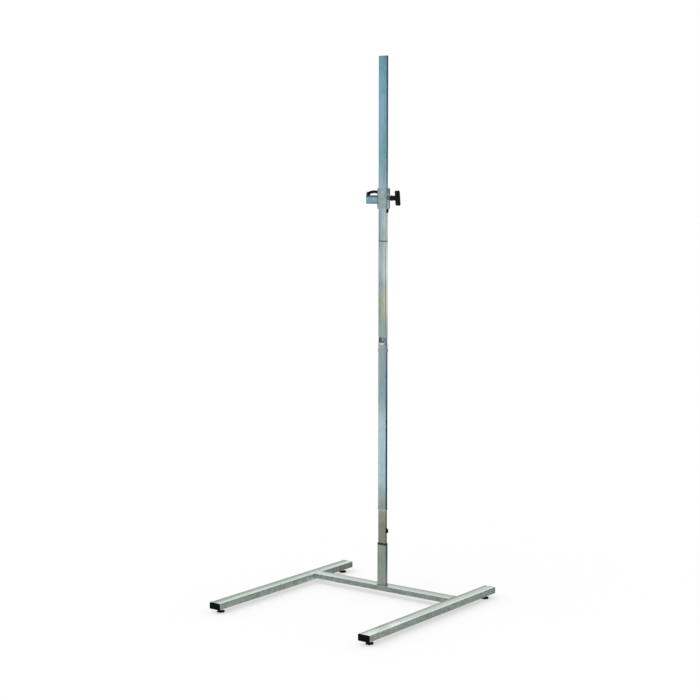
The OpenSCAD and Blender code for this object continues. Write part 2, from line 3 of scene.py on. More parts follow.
import bpy
import numpy as np
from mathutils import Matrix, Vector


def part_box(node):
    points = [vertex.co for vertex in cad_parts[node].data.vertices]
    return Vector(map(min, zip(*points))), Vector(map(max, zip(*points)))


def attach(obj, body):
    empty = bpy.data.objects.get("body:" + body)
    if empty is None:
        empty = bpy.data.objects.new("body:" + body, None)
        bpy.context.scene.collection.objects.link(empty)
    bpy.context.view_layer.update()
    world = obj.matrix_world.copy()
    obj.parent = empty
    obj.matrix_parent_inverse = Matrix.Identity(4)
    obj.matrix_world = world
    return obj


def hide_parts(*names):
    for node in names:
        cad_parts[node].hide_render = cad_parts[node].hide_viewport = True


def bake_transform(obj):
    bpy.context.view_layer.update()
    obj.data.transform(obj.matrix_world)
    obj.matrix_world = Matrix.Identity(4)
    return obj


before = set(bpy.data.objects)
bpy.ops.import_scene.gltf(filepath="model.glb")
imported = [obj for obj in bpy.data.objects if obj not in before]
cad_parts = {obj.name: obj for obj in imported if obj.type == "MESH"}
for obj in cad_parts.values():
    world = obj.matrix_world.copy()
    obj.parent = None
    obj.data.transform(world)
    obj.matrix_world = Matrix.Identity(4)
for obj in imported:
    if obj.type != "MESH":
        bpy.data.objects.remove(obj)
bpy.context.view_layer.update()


# Floor rails: two lengths of stock rectangular steel tube, cut square and zinc plated.
# The broad tops carry painted shade and highlight; the narrow sides are blotchy and darkened as painted
# shade.
def place(tree, kind, **values):
    """Puts one shader node on the sheet and sets its plain properties."""
    made = tree.nodes.new(kind)
    for key, value in values.items():
        setattr(made, key, value)
    return made


def feed(tree, socket, value):
    """Links a socket to another node's output, or sets it to a fixed number or colour."""
    if isinstance(value, bpy.types.NodeSocket):
        tree.links.new(value, socket)
    else:
        socket.default_value = (*value, 1.0) if isinstance(value, tuple) else value


def stretched(tree, repeats):
    """Object coordinates, scaled to so many repeats a metre: one number for all axes, or three."""
    coords = place(tree, "ShaderNodeTexCoord")
    stretch = place(tree, "ShaderNodeMapping")
    stretch.inputs["Scale"].default_value = tuple(np.broadcast_to(repeats, 3))
    tree.links.new(coords.outputs["Object"], stretch.inputs["Vector"])
    return stretch.outputs["Vector"]


def clouds(tree, repeats, detail=3.0, crisp=0.5):
    """Soft noise from 0 to 1, with so many repeats a metre."""
    made = place(tree, "ShaderNodeTexNoise")
    made.inputs["Scale"].default_value = 1.0
    made.inputs["Detail"].default_value = detail
    made.inputs["Roughness"].default_value = crisp
    tree.links.new(stretched(tree, repeats), made.inputs["Vector"])
    return made.outputs["Fac"]


def coordinate(tree, axis):
    """One object coordinate in metres, by its letter or number."""
    coords = place(tree, "ShaderNodeTexCoord")
    apart = place(tree, "ShaderNodeSeparateXYZ")
    tree.links.new(coords.outputs["Object"], apart.inputs["Vector"])
    return apart.outputs[axis]


def spread(tree, source, ends, results=(0.0, 1.0)):
    """Carries a range of numbers straight onto another, held at its ends."""
    made = place(tree, "ShaderNodeMapRange")
    for socket, value in zip(("From Min", "From Max", "To Min", "To Max"), (*ends, *results)):
        made.inputs[socket].default_value = value
    tree.links.new(source, made.inputs["Value"])
    return made.outputs["Result"]


def tinted(tree, source, stops):
    """Colours at places from 0 to 1, eased from one to the next."""
    made = place(tree, "ShaderNodeValToRGB")
    made.color_ramp.interpolation = "EASE"
    while len(made.color_ramp.elements) < len(stops):
        made.color_ramp.elements.new(0.5)
    for element, (spot, colour) in zip(made.color_ramp.elements, stops):
        element.position = spot
        element.color = (*colour, 1.0)
    tree.links.new(source, made.inputs["Fac"])
    return made.outputs["Color"]


def shaded(tree, source, stops):
    """Greys at places from 0 to 1, eased from one to the next."""
    return tinted(tree, source, [(spot, (share, share, share)) for spot, share in stops])


def mixed(tree, kind, share, first, second):
    """Two colours mixed, each a socket or a fixed colour; the share is a socket or a number."""
    made = place(tree, "ShaderNodeMix", data_type="RGBA", blend_type=kind)
    first_colour, second_colour, result = made.inputs[6], made.inputs[7], made.outputs[2]
    feed(tree, made.inputs["Factor"], share)
    feed(tree, first_colour, first)
    feed(tree, second_colour, second)
    return result


def toned(tree, colour, shade, share=1.0):
    """A colour multiplied by a shade, wholly or by a share."""
    return mixed(tree, "MULTIPLY", share, colour, shade)


def dimmed(colour, share):
    """A fixed colour with every part cut to a share."""
    return tuple(share * part for part in colour)


def painted(tree, shader, colour):
    """Gives the surface a colour that changes over it."""
    tree.links.new(colour, shader.inputs["Base Color"])


def glossed(tree, shader, pattern, gloss, ends=(0.3, 0.7)):
    """Lets a pattern carry the roughness from one value to another, over the range where most noise lies."""
    tree.links.new(spread(tree, pattern, ends, gloss), shader.inputs["Roughness"])


def raised(tree, shader, pattern, depth, strength):
    """Lifts the surface by a pattern, to a depth in metres."""
    made = place(tree, "ShaderNodeBump")
    made.inputs["Distance"].default_value = depth
    made.inputs["Strength"].default_value = strength
    tree.links.new(pattern, made.inputs["Height"])
    tree.links.new(made.outputs["Normal"], shader.inputs["Normal"])


def bare_finish(name, metal):
    """A material with one surface shader on an otherwise empty sheet."""
    finish = bpy.data.materials.new(name)
    finish.use_nodes = True
    tree = finish.node_tree
    tree.nodes.clear()
    out = place(tree, "ShaderNodeOutputMaterial")
    shader = place(tree, "ShaderNodeBsdfPrincipled")
    shader.inputs["Metallic"].default_value = metal
    tree.links.new(shader.outputs["BSDF"], out.inputs["Surface"])
    return finish, tree, shader


def plated_rail(node, along, tints, dull, top_light_across, top_light_along, side_light_along):
    """Plated rail: tints drift along the tube and spangle breaks them up. Below the top, the sides take a
    darker, blotchy side colour that is painted shade. The ramp across the top is painted shade and highlight,
    darkest at its far edge and brightest at its near one, and the two ramps along it are painted light and
    shade on the top and the near side."""
    finish, tree, shader = bare_finish("zinc_" + node, 1.0)
    low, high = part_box(node)
    across = 1 - along
    far_to_near = (low[across], high[across]) if along else (high[across], low[across])
    drift = [16.0, 16.0, 16.0]
    drift[along] = 3.0
    drawn = [520.0, 520.0, 520.0]
    drawn[along] = 6.0
    spangle = ((0.36, (0.84, 0.86, 0.85)), (0.62, full))
    colour = tinted(tree, clouds(tree, drift, 4.0, 0.6), tints)
    bright = toned(tree, colour, tinted(tree, clouds(tree, 95.0, 2.0, 0.7), spangle), 0.5)
    width = spread(tree, coordinate(tree, across), far_to_near)
    length = spread(tree, coordinate(tree, along), (low[along], high[along]))
    # Painted shade and highlight across the top, and painted light and shade along it.
    top = toned(tree, bright, shaded(tree, width, top_light_across))
    top = toned(tree, top, shaded(tree, length, top_light_along))
    # Painted shade: the sides take the darker dull colour, broken up by blotches.
    blotches = ((0.32, dimmed(dull, 0.72)), (0.66, dull))
    shaded_sides = toned(tree, bright, tinted(tree, clouds(tree, 48.0, 3.0, 0.65), blotches))
    # Painted light and shade along the near side.
    near_half = spread(tree, width, (0.4, 0.6))
    shaded_sides = toned(tree, shaded_sides, shaded(tree, length, side_light_along), near_half)
    rim = (high[2] - 0.0032, high[2] - 0.0004)
    below = spread(tree, coordinate(tree, "Z"), rim, (1.0, 0.0))
    painted(tree, shader, mixed(tree, "MIX", below, top, shaded_sides))
    lines = clouds(tree, drawn, 2.0)
    glossed(tree, shader, lines, (0.28, 0.44))
    raised(tree, shader, lines, 0.00010, 0.25)
    return finish


def dress(finish, *names):
    """Gives CAD nodes their finish."""
    for name in names:
        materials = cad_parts[name].data.materials
        materials.clear()
        materials.append(finish)


full = (1.0, 1.0, 1.0)
front_to_back = 1
rail_tints = ((0.30, (0.545, 0.63, 0.58)), (0.50, (0.63, 0.715, 0.66)), (0.70, (0.71, 0.78, 0.74)))
# Painted shade: the side colour here darkens the rails' sides. The ramps below are painted shade and
# highlight across the tops, and painted light and shade along the tops and the near sides.
rail_side_shade = (0.50, 0.515, 0.49)
left_light_across = ((0.0, 0.40), (0.18, 0.44), (0.38, 0.57), (0.56, 0.82), (0.74, 1.06), (0.95, 1.10))
left_top_light = ((0.0, 0.98), (1.0, 1.03))
left_side_light = ((0.0, 0.97), (0.54, 1.0), (0.61, 1.30), (0.68, 1.85), (0.76, 0.9), (0.90, 0.60), (1.0, 0.65))
dress(plated_rail("left_rail", front_to_back, rail_tints, rail_side_shade, left_light_across, left_top_light, left_side_light),
      "left_rail")
right_light_across = ((0.0, 0.36), (0.18, 0.43), (0.38, 0.80), (0.56, 0.90), (0.75, 0.95), (0.95, 1.24))
right_top_light = ((0.0, 1.40), (0.20, 1.40), (0.28, 1.06), (0.38, 1.0), (0.65, 1.0), (1.0, 0.95))
right_side_light = ((0.0, 0.84), (0.10, 1.0), (0.70, 0.96), (1.0, 0.87))
dress(plated_rail("right_rail", front_to_back, rail_tints, rail_side_shade, right_light_across, right_top_light, right_side_light),
      "right_rail")


# Cross tube: a flatter length of like tube, welded between the rails with its top level with theirs.
# It is plated with them, a little greyer; its front edge carries a painted highlight and its sides painted
# shade.
side_to_side = 0
cross_tints = ((0.30, (0.50, 0.56, 0.53)), (0.50, (0.57, 0.63, 0.60)), (0.70, (0.64, 0.69, 0.66)))
# Painted shade: this side colour darkens the cross tube's sides. The ramps after it are painted shade and
# highlight across the top, and painted light and shade along the top and the front side, brightest by the
# left rail.
cross_side_shade = (0.58, 0.60, 0.58)
cross_light_across = ((0.0, 0.44), (0.18, 0.55), (0.38, 0.88), (0.56, 0.88), (0.75, 1.05), (0.95, 1.24))
cross_top_light = ((0.0, 1.13), (0.25, 1.04), (0.50, 1.0), (1.0, 0.92))
cross_side_light = ((0.0, 1.65), (0.04, 1.55), (0.09, 1.15), (0.15, 0.97), (0.35, 0.90), (1.0, 0.86))
dress(plated_rail("cross_tube", side_to_side, cross_tints, cross_side_shade, cross_light_across, cross_top_light, cross_side_light),
      "cross_tube")


# Mast socket: a short upright tube welded on the cross tube, plated with the base to a grey-green cast.
# Fine lines from drawing the tube run up it.
def reckoned(tree, operation, *values):
    """One sum, each value a socket or a number."""
    made = place(tree, "ShaderNodeMath", operation=operation)
    for socket, value in zip(made.inputs, values):
        feed(tree, socket, value)
    return made.outputs[0]


def plated_tube(name, span, tints, gloss=(0.22, 0.34), wander=0.16, seam=None, cast=None, high_cast=None):
    """Plated upright tube: tints change up its span and wander a little, with clouding, draw lines up it and
    their gloss. The last millimetres towards a seam at a given height are darkened. The ramp across shifts
    the
    colour from left to right: partly the plating's own tint, partly painted shade and highlight along the
    edges and on the right side. A second ramp across takes over from it between two levels, given with its
    own stops."""
    finish, tree, shader = bare_finish(name, 1.0)
    rise = spread(tree, coordinate(tree, "Z"), span)
    wandering = clouds(tree, (30.0, 30.0, 5.0), 3.0, 0.6)
    level = reckoned(tree, "ADD", rise, reckoned(tree, "MULTIPLY_ADD", wandering, wander, -0.5 * wander))
    bloom = ((0.35, (0.84, 0.85, 0.85)), (0.65, full))
    stripes = ((0.38, (0.86, 0.86, 0.85)), (0.60, full))
    colour = tinted(tree, level, tints)
    colour = toned(tree, colour, tinted(tree, clouds(tree, (75.0, 75.0, 24.0), 3.0, 0.6), bloom), 0.6)
    colour = toned(tree, colour, tinted(tree, clouds(tree, (230.0, 230.0, 2.5), 2.0), stripes), 0.7)
    # Partly the plating's own tint, partly painted shade and highlight along the edges and the right side.
    if cast:
        width = spread(tree, coordinate(tree, "X"), mast_sides)
        shift = tinted(tree, width, cast)
        if high_cast:
            start, end, stops = high_cast
            above = spread(tree, rise, (start, end))
            shift = mixed(tree, "MIX", above, shift, tinted(tree, width, stops))
        colour = toned(tree, colour, shift)
    # The last millimetres towards the seam are darkened.
    if seam:
        gap = reckoned(tree, "ABSOLUTE", reckoned(tree, "SUBTRACT", coordinate(tree, "Z"), seam))
        seam_darkening = spread(tree, gap, (0.0012, 0.0030), (0.85, 0.0))
        colour = mixed(tree, "MIX", seam_darkening, colour, (0.05, 0.055, 0.055))
    painted(tree, shader, colour)
    lines = clouds(tree, (800.0, 800.0, 6.0), 2.0)
    glossed(tree, shader, lines, gloss)
    raised(tree, shader, lines, 0.00006, 0.2)
    return finish


def foot_and_top(node):
    """The lowest and highest Z of a CAD node."""
    low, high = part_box(node)
    return low[2], high[2]


mast_sides = [corner[0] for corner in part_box("lower_tube")]
socket_foot, socket_top = foot_and_top("mast_socket")
socket_tints = ((0.0, (0.29, 0.345, 0.30)), (0.45, (0.315, 0.37, 0.33)), (1.0, (0.335, 0.395, 0.35)))
dress(plated_tube("zinc_socket", (socket_foot, socket_top), socket_tints, (0.28, 0.42)), "mast_socket")


# Base welds: a bead all round the foot of the socket, and one up each side of the cross tube's ends.
# They were laid by hand in overlapping pools, which left them lumpy, and were plated with the base.
def corners(node):
    """The low and high corners of a CAD node's box, as arrays."""
    return np.array(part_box(node))


def skin(name, rings, looped):
    """Mesh over a stack of closed rings: neighbours are joined by quads, and the stack either meets itself or
    is filled at its ends."""
    count, around = rings.shape[:2]
    i, j = np.meshgrid(np.arange(count if looped else count - 1), np.arange(around), indexing="ij")
    ahead = (i + 1) % count
    beside = (j + 1) % around
    quads = np.stack([i * around + j, i * around + beside, ahead * around + beside, ahead * around + j], -1)
    faces = quads.reshape(-1, 4).tolist()
    if not looped:
        first_ring = np.arange(around)
        last_ring = (count - 1) * around + first_ring
        faces += [first_ring[::-1].tolist(), last_ring.tolist()]
    mesh = bpy.data.meshes.new(name)
    mesh.from_pydata(rings.reshape(-1, 3).tolist(), [], faces)
    mesh.polygons.foreach_set("use_smooth", np.ones(len(faces), dtype=bool))
    mesh.set_sharp_from_angle(angle=math.radians(crease))
    made = bpy.data.objects.new(name, mesh)
    bpy.context.scene.collection.objects.link(made)
    return made


def bead(path, out, up, leg, pool, tapered):
    """Weld bead: at each point of a path, a quarter disc between the directions out and up. Its leg sinks by
    about an eighth between pools of a given length, and shrinks at both ends if tapered. A corner sunk a
    little into the metal closes the section."""
    step = np.linalg.norm(np.diff(path, axis=0, append=path[:1]), axis=1)
    run = np.concatenate([[0.0], np.cumsum(step)[:-1]])
    whole = run[-1] if tapered else step.sum()
    pools = max(1, round(whole / pool))
    size = leg * (1.0 - pool_sink * (1.0 - np.abs(np.cos(np.pi * pools * run / whole))))
    if tapered:
        size = size * np.clip(np.minimum(run, whole - run) / leg, end_share, 1.0)
    turn = np.radians(np.linspace(90.0, 0.0, arc_points))
    across = np.append(np.cos(turn), -sunk_share)
    rise = np.append(np.sin(turn), -sunk_share)
    return path[:, None] + size[:, None, None] * (across[:, None] * out[:, None] + rise[:, None] * up)


def around_tube(width, depth, corner, count):
    """Points and outward directions round a rectangle with round corners: four quarter circles joined by
    straight sides, then taken at even steps of length."""
    turn = np.linspace(0.0, 90.0, arc_points)
    sides = np.array([[1, 1], [-1, 1], [-1, -1], [1, -1]])
    arcs = np.radians(turn + 90.0 * np.arange(4)[:, None])
    facing = np.stack([np.cos(arcs), np.sin(arcs)], -1)
    spots = sides[:, None] * np.array([width / 2 - corner, depth / 2 - corner]) + corner * facing
    outline = np.concatenate([spots, facing], -1).reshape(-1, 4)
    outline = np.concatenate([outline, outline[:1]])
    reach = np.linalg.norm(np.diff(outline[:, :2], axis=0), axis=1)
    run = np.concatenate([[0.0], np.cumsum(reach)])
    even = np.linspace(0.0, run[-1], count, endpoint=False)
    steps = np.stack([np.interp(even, run, column) for column in outline.T], -1)
    facing = steps[:, 2:]
    return steps[:, :2], facing / np.linalg.norm(facing, axis=1, keepdims=True)


def weld_finish(name, colour):
    """Plated weld: dull lumpy metal, darker in its pits."""
    finish, tree, shader = bare_finish(name, 1.0)
    lumps = clouds(tree, 330.0, 4.0, 0.6)
    painted(tree, shader, tinted(tree, lumps, ((0.35, dimmed(colour, 0.5)), (0.65, colour))))
    glossed(tree, shader, lumps, (0.50, 0.36))
    raised(tree, shader, lumps, 0.0005, 0.5)
    return finish


crease = 38
arc_points = 9
pool_sink = 0.13
end_share = 0.25
sunk_share = 0.08
upward = np.array([0.0, 0.0, 1.0])
tube_corner = 0.0025
base_leg = 0.004
base_pool = 0.0024
foot_points = 360
foot_low, foot_high = corners("mast_socket")
foot_size = foot_high - foot_low
spots, facing = around_tube(foot_size[0], foot_size[1], tube_corner, foot_points)
foot_path = np.column_stack([spots + (foot_low + foot_high)[:2] / 2, np.full(foot_points, foot_low[2])])
foot_out = np.column_stack([facing, np.zeros(foot_points)])
foot_rings = bead(foot_path, foot_out, upward, base_leg, base_pool, tapered=False)
socket_bead = skin("socket_bead", foot_rings, looped=True)
socket_bead.data.materials.append(weld_finish("plated_weld", (0.36, 0.41, 0.37)))
beads = [socket_bead]
# Painted light: the end beads are made much lighter than the socket bead, against the shade of the inner
# corners where the cross tube meets the rails.
end_weld = weld_finish("bright_weld", (0.74, 0.78, 0.74))
end_points = 60
tube_low, tube_high = corners("cross_tube")
for side, name in ((0, "left"), (1, "right")):
    for edge, way in ((0, "front"), (1, "rear")):
        height = np.linspace(tube_low[2] + base_leg, tube_high[2] - base_leg, end_points)
        x = (tube_low, tube_high)[side][0]
        y = (tube_low, tube_high)[edge][1]
        path = np.column_stack([np.full(end_points, x), np.full(end_points, y), height])
        inward = np.array([1.0 - 2.0 * side, 0.0, 0.0])
        outward = np.array([0.0, 2.0 * edge - 1.0, 0.0])
        first, second = (inward, outward) if side == edge else (outward, inward)
        spread_out = np.broadcast_to(first, (end_points, 3))
        rings = bead(path, spread_out, second, base_leg, base_pool, tapered=True)
        end_bead = skin(f"{name}_{way}_bead", rings, looped=False)
        end_bead.data.materials.append(end_weld)
        beads.append(end_bead)
for made in beads:
    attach(made, "base")
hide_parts("base_welds")


# Socket bush: a black moulded sleeve with a lip that shows as a dark band.
# It is pressed into the socket's mouth and guides the spigot.
def black_moulding(name, colour, rough, sheen=0.14):
    """Moulded black plastic: fine spark-eroded grain with faintly uneven colour and gloss."""
    finish, tree, shader = bare_finish(name, 0.0)
    haze = clouds(tree, 70.0)
    worn = tuple(bleach * part + dust for part in colour)
    painted(tree, shader, tinted(tree, haze, ((0.35, colour), (0.75, worn))))
    glossed(tree, shader, haze, (rough - 0.05, rough + 0.08))
    shader.inputs["Specular IOR Level"].default_value = sheen
    raised(tree, shader, clouds(tree, 2600.0, 2.0), 0.00007, 0.35)
    return finish


bleach = 1.9
dust = 0.0015
dress(black_moulding("black_bush", (0.019, 0.025, 0.019), 0.5), "socket_bush")


# End caps: black moulded plugs knocked into the rails' open ends.
# Their plates cover the cut edges of the tube.
dress(black_moulding("black_cap", (0.0008, 0.0008, 0.0009), 0.46, sheen=0.05),
      "front_left_cap", "front_right_cap", "rear_left_cap", "rear_right_cap")


# Levelling feet: a lobed black base moulded on a plated stud, which screws into a nut set in the rail's
# underside. The stud has a hexagon above the base for a spanner and a rolled thread above that.
def plated_fastener(name, colour, across=None):
    """Bright plated small part: fine handling marks, a little duller in places. Painted light and shade
    across it run between two object X values, each with the share of the colour kept there."""
    finish, tree, shader = bare_finish(name, 1.0)
    marks = clouds(tree, 620.0, 3.0, 0.6)
    plating = tinted(tree, marks, ((0.3, dimmed(colour, 0.72)), (0.7, colour)))
    # Painted light and shade across the part, where given.
    if across:
        (left, left_share), (right, right_share) = across
        painted_light = spread(tree, coordinate(tree, "X"), (left, right), (left_share, right_share))
        plating = toned(tree, plating, painted_light)
    painted(tree, shader, plating)
    glossed(tree, shader, marks, (0.22, 0.38))
    raised(tree, shader, marks, 0.00005, 0.2)
    return finish


def threaded_rod(start, axis, marks, flats=None):
    """Rod about an axis from a start point. Each mark gives a place along it, the radius there and whether it
    is threaded, and these change evenly between marks. On the thread, a groove winds up once each pitch,
    deepest half way between crests. Where flats are given as two places and the distance across them, the
    radius there follows a hexagon instead."""
    places, radii, threads = np.array(marks).T
    steps = int((places[-1] - places[0]) / thread_pitch * steps_a_pitch)
    along = np.unique(np.concatenate([np.linspace(places[0], places[-1], steps), places]))
    if flats:
        flat_low, flat_high, flat_across = flats
        hair = 1e-6
        along = np.unique(np.concatenate([along, [flat_low - hair, flat_low, flat_high, flat_high + hair]]))
    angle = np.linspace(0.0, 2.0 * np.pi, rod_points, endpoint=False)
    groove = thread_cut * np.interp(along, places, threads)[:, None]
    wind = (along[:, None] / thread_pitch - angle / (2.0 * np.pi)) % 1.0
    radius = np.interp(along, places, radii)[:, None] - groove * (1.0 - np.abs(2.0 * wind - 1.0))
    if flats:
        hexagon = flat_across / 2.0 / np.cos(angle % (np.pi / 3.0) - np.pi / 6.0)
        inside = (along >= flat_low) & (along <= flat_high)
        radius = np.where(inside[:, None], hexagon, radius)
    side = np.cross([0.0, 1.0, 0.0], axis)
    other = np.cross(axis, side)
    spokes = np.cos(angle)[:, None] * side + np.sin(angle)[:, None] * other
    return start + along[:, None, None] * axis + radius[:, :, None] * spokes


thread_pitch = 0.0015
thread_cut = 0.0007
thread_start = 0.0006
steps_a_pitch = 8
rod_points = 48
stud_radius = 0.005
stud_tip = 0.004
tip_length = 0.001
hex_height = 0.005
hex_across = 0.015
foot_moulding = black_moulding("black_foot", (0.004, 0.004, 0.004), 0.55)
stud_finish = plated_fastener("plated_stud", (0.60, 0.62, 0.60))
for corner in ("front_left", "front_right", "rear_left", "rear_right"):
    dress(foot_moulding, corner + "_foot")
    base_low, base_high = corners(corner + "_foot")
    rod_low, rod_high = corners(corner + "_stud")
    middle = np.append((base_low + base_high)[:2] / 2, 0.0)
    hex_low = base_high[2]
    hex_top = hex_low + hex_height
    marks = ((rod_low[2], stud_radius, 0.0), (hex_top, stud_radius, 0.0),
             (hex_top + thread_start, stud_radius, 1.0), (rod_high[2] - tip_length, stud_radius, 1.0),
             (rod_high[2], stud_tip, 0.0))
    rings = threaded_rod(middle, upward, marks, flats=(hex_low, hex_top, hex_across))
    rod = skin(corner + "_thread", rings, looped=False)
    rod.data.materials.append(stud_finish)
    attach(rod, corner + "_leveller")
    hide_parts(corner + "_stud")
dress(plated_fastener("plated_nut", (0.55, 0.57, 0.54)), "foot_nuts")


# Lower spigot: the smaller tube that stands in the socket and carries the mast, darkened by years of sliding.
# A black catch on its right side snaps out through a window, pushed by a bent leaf spring.
collar_foot, collar_top = foot_and_top("lower_collar")
spigot_tints = ((0.0, (0.27, 0.31, 0.25)), (0.35, (0.275, 0.305, 0.245)), (0.55, (0.275, 0.28, 0.215)),
                (0.72, (0.305, 0.345, 0.265)), (1.0, (0.315, 0.375, 0.285)))
dress(plated_tube("worn_spigot", (socket_top, collar_foot), spigot_tints, (0.26, 0.40), wander=0.10),
      "lower_spigot")
dress(black_moulding("black_catch", (0.003, 0.003, 0.003), 0.45), "snap_catch")


def spring_steel(name):
    """Blue-grey hardened strip with scratches along it."""
    finish, tree, shader = bare_finish(name, 1.0)
    scratches = clouds(tree, (900.0, 900.0, 30.0), 3.0, 0.6)
    painted(tree, shader, tinted(tree, scratches, ((0.3, (0.16, 0.18, 0.21)), (0.7, (0.30, 0.32, 0.35)))))
    glossed(tree, shader, scratches, (0.25, 0.42))
    return finish


def leaf_spring(name, node, across, wall, flat):
    """Leaf spring: a strip's section carried up the height of a CAD node. Its foot lies along the wall side,
    which is 0 for the low end of its span across and 1 for the high end. Above the bend it leans straight
    over to the other end, and its flat stands there."""
    low, high = corners(node)
    bend = low[2] + leaf_foot
    flat_start = high[2] - flat
    height = np.unique(np.append(np.linspace(low[2], high[2], leaf_points), [bend, flat_start]))
    lean = np.interp(height, [bend, flat_start], [wall, 1.0 - wall])
    near = low[across] + (high[across] - low[across] - leaf_thick) * lean
    spans = [np.broadcast_to([low[k], high[k]], (len(height), 2)) for k in (0, 1)]
    spans[across] = near[:, None] + np.array([0.0, leaf_thick])
    level = np.repeat(height[:, None], 4, axis=1)
    rings = np.stack([spans[0][:, [0, 1, 1, 0]], spans[1][:, [0, 0, 1, 1]], level], -1)
    made = skin(name, rings, looped=False)
    made.data.materials.append(leaf_finish)
    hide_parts(node)
    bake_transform(made)


leaf_finish = spring_steel("blue_spring")
leaf_thick = 0.0008
leaf_points = 90
leaf_foot = 0.030
low_end = 0.0
catch_flat = 0.0138
leaf_spring("catch_leaf", "catch_spring", side_to_side, low_end, catch_flat)


# Lower mast tube: the longest drawn tube, bright zinc with a blue cast that greys towards both ends.
# A plated collar is pressed on its foot, and a pale nylon bush in the collar rides on the spigot.
lower_tints = ((0.0, (0.32, 0.36, 0.31)), (0.10, (0.365, 0.495, 0.485)), (0.20, (0.50, 0.685, 0.745)),
               (0.42, (0.595, 0.81, 0.875)), (0.56, (0.605, 0.81, 0.85)), (0.64, (0.485, 0.665, 0.675)),
               (0.72, (0.365, 0.53, 0.556)), (1.0, (0.41, 0.55, 0.547)))
# Painted shade and tint: the ramps across the lower tube are partly the plating's tint, partly painted shade
# and light on its right edge and side.
lower_cast = ((0.0, (1.10, 1.00, 0.96)), (0.12, (1.14, 1.00, 0.95)), (0.30, (1.10, 1.02, 1.00)),
              (0.50, (1.00, 1.00, 1.01)), (0.64, (0.92, 0.96, 0.97)), (0.77, (0.98, 1.00, 1.01)),
              (0.90, (0.86, 0.93, 0.93)), (1.0, (0.52, 0.73, 0.81)))
hazy_cast = ((0.0, (1.08, 0.98, 0.96)), (0.12, (1.12, 0.98, 0.97)), (0.30, (1.08, 1.00, 1.00)),
             (0.50, (1.02, 1.00, 1.01)), (0.64, (1.00, 1.02, 1.02)), (0.77, (1.01, 1.02, 1.01)),
             (0.90, (0.92, 0.95, 0.95)), (1.0, (0.94, 1.06, 1.40)))
lower_high = (0.62, 0.74, hazy_cast)
mast_gloss = (0.20, 0.32)
dress(plated_tube("zinc_lower_tube", foot_and_top("lower_tube"), lower_tints, mast_gloss, wander=0.06,
                  cast=lower_cast, high_cast=lower_high), "lower_tube")
collar_tints = ((0.0, (0.36, 0.395, 0.33)), (1.0, (0.345, 0.39, 0.33)))
dress(plated_tube("zinc_collar", (collar_foot, collar_top), collar_tints, (0.26, 0.38)), "lower_collar")


def nylon(name):
    """Natural nylon: a little translucent, yellowed in patches and finely scuffed."""
    finish, tree, shader = bare_finish(name, 0.0)
    age = clouds(tree, 120.0)
    painted(tree, shader, tinted(tree, age, ((0.3, (0.34, 0.34, 0.28)), (0.7, (0.50, 0.50, 0.44)))))
    glossed(tree, shader, age, (0.38, 0.52))
    shader.inputs["Subsurface Weight"].default_value = 0.15
    shader.inputs["Subsurface Radius"].default_value = (0.002, 0.002, 0.0015)
    return finish


dress(nylon("pale_bush"), "lower_bush")


# Mast joint: a cast ferrule caps the lower tube and holds the joint spigot, which two rivets fix from behind.
# The upper mast drops over the spigot, and a domed button springs out under its edge.
def cast_ferrule(name):
    """Plated zinc casting: grainy and grey, bluer to the right, with a brighter band at its top that fades
    unevenly from left to right."""
    finish, tree, shader = bare_finish(name, 1.0)
    grains = clouds(tree, 420.0, 3.0, 0.6)
    grey = tinted(tree, grains, ((0.32, (0.38, 0.46, 0.44)), (0.68, (0.50, 0.60, 0.57))))
    banded = spread(tree, coordinate(tree, "Z"), bright_band)
    band_tints = ((0.38, (0.52, 0.58, 0.56)), (0.58, (0.82, 0.87, 0.85)))
    # Across the mast the band is darker towards both ends.
    worn = ((0.02, (0.45, 0.45, 0.45)), (0.20, (1.12, 1.12, 1.12)), (0.66, (1.05, 1.05, 1.05)),
            (0.84, (0.50, 0.52, 0.54)))
    blued = ((0.62, full), (0.80, (0.80, 0.90, 1.02)), (1.0, (0.74, 0.88, 1.04)))
    width = spread(tree, coordinate(tree, "X"), mast_sides)
    rim = toned(tree, tinted(tree, clouds(tree, 90.0, 3.0, 0.6), band_tints), tinted(tree, width, worn))
    metal = mixed(tree, "MIX", banded, grey, rim)
    painted(tree, shader, toned(tree, metal, tinted(tree, width, blued)))
    glossed(tree, shader, grains, (0.42, 0.30))
    raised(tree, shader, grains, 0.00012, 0.3)
    return finish


ferrule_top = foot_and_top("joint_ferrule")[1]
middle_foot, middle_top = foot_and_top("middle_tube")
bright_band = (ferrule_top - 0.0115, ferrule_top - 0.0075)
dress(cast_ferrule("cast_ferrule"), "joint_ferrule")
# Painted shade and light: the joint spigot's dark tints stand for the shade in the narrow gap between the
# tube ends, and the ramp across it is a painted highlight on its right part. The top spigot shares the dark
# tints.
spigot_shade_tints = ((0.0, (0.16, 0.20, 0.21)), (0.5, (0.13, 0.16, 0.17)), (1.0, (0.16, 0.19, 0.20)))
dark_gloss = (0.24, 0.38)
oiled_cast = ((0.0, (0.9, 0.95, 0.97)), (0.55, (1.0, 1.05, 1.06)), (0.80, (1.9, 2.1, 2.2)),
              (1.0, (2.4, 2.6, 2.7)))
dress(plated_tube("shaded_joint_spigot", (ferrule_top, middle_foot), spigot_shade_tints, dark_gloss, cast=oiled_cast),
      "joint_spigot")
dress(plated_fastener("plated_rivet", (0.58, 0.61, 0.60)), "joint_rivets", "top_rivets")
button_low, button_high = corners("snap_button")
button_left = button_low[0]
button_wide = button_high[0] - button_left
# Painted highlight and shade: the button is darkened on its left part and brightened on its right part.
button_highlight = ((button_left + 0.52 * button_wide, 0.12), (button_left + 0.85 * button_wide, 1.5))
dress(plated_fastener("polished_button", (0.66, 0.70, 0.70), button_highlight), "snap_button")
high_end = 1.0
button_flat = 0.008
leaf_spring("button_leaf", "button_spring", front_to_back, high_end, button_flat)


